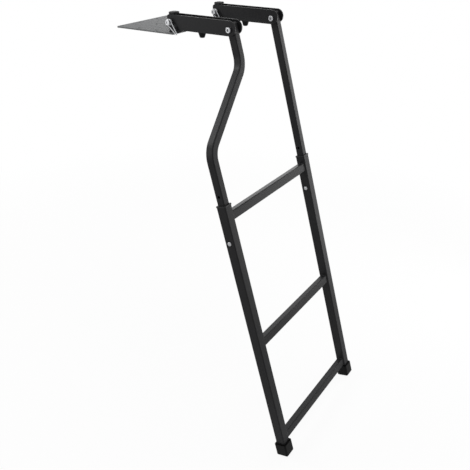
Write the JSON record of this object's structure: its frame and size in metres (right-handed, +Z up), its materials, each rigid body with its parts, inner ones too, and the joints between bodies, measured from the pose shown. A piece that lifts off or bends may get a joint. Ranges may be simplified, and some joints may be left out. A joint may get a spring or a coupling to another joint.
{
  "type": "tailgate ladder",
  "caption": "Folding ladder that hangs from a screw-down plate on two hinged arms, with one bent and one straight telescoping rail, steps between them and moulded feet.",
  "frame": {"origin": "centre of the underside of the mounting plate, which rests on the top of the tailgate", "axes": "+Z up, +Y into the truck bed, +X to the right of a person who climbs the ladder"},
  "size_m": [0.36, 0.5696, 0.9285],
  "materials": {
    "plate": "mid grey powder coat",
    "frame": "satin black powder coat",
    "bright": "bright zinc plate",
    "bumper": "matt black rubber",
    "moulding": "fine-grained black plastic",
    "foot": "matt black rubber"
  },
  "bodies": {
    "base": {"mounting_plate": "plate", "bracket_left": "frame", "bracket_right": "frame"},
    "pull_pin_left": {"pull_pin_left": "bright", "pull_loop_left": "bright"},
    "pull_pin_right": {"pull_pin_right": "bright", "pull_loop_right": "bright"},
    "arms": {"arm_left": "frame", "arm_right": "frame", "heel_stud_left": "frame", "heel_stud_right": "frame", "bumper_left": "bumper", "bumper_right": "bumper", "pivot_bolt_left": "bright", "pivot_bolt_right": "bright"},
    "upper_ladder": {"upper_rail_left": "frame", "upper_rail_right": "frame", "rail_cap_left": "moulding", "rail_cap_right": "moulding"},
    "lower_ladder": {"lower_rail_left": "frame", "lower_rail_right": "frame", "collar_left": "moulding", "collar_right": "moulding", "rung_top": "frame", "rung_middle": "frame", "rung_bottom": "frame", "foot_left": "foot", "foot_right": "foot", "snap_button_left": "bright", "snap_button_right": "bright"}
  },
  "joints": [
    {"name": "left_pin_pull", "type": "slide", "parent": "base", "child": "pull_pin_left", "axis": [-1, 0, 0], "range_m": [0, 0.028]},
    {"name": "right_pin_pull", "type": "slide", "parent": "base", "child": "pull_pin_right", "axis": [-1, 0, 0], "range_m": [0, 0.028]},
    {"name": "arm_fold", "type": "hinge", "parent": "base", "child": "arms", "pos_m": [0, -0.073, 0.025], "axis": [-1, 0, 0], "range_deg": [0, 180]},
    {"name": "ladder_fold", "type": "hinge", "parent": "arms", "child": "upper_ladder", "pos_m": [0, -0.223, 0.0225], "axis": [-1, 0, 0], "range_deg": [0, 74.5]},
    {"name": "rail_slide", "type": "slide", "parent": "upper_ladder", "child": "lower_ladder", "axis": [0, 0.2672, 0.9636], "range_m": [0, 0.075]}
  ]
}
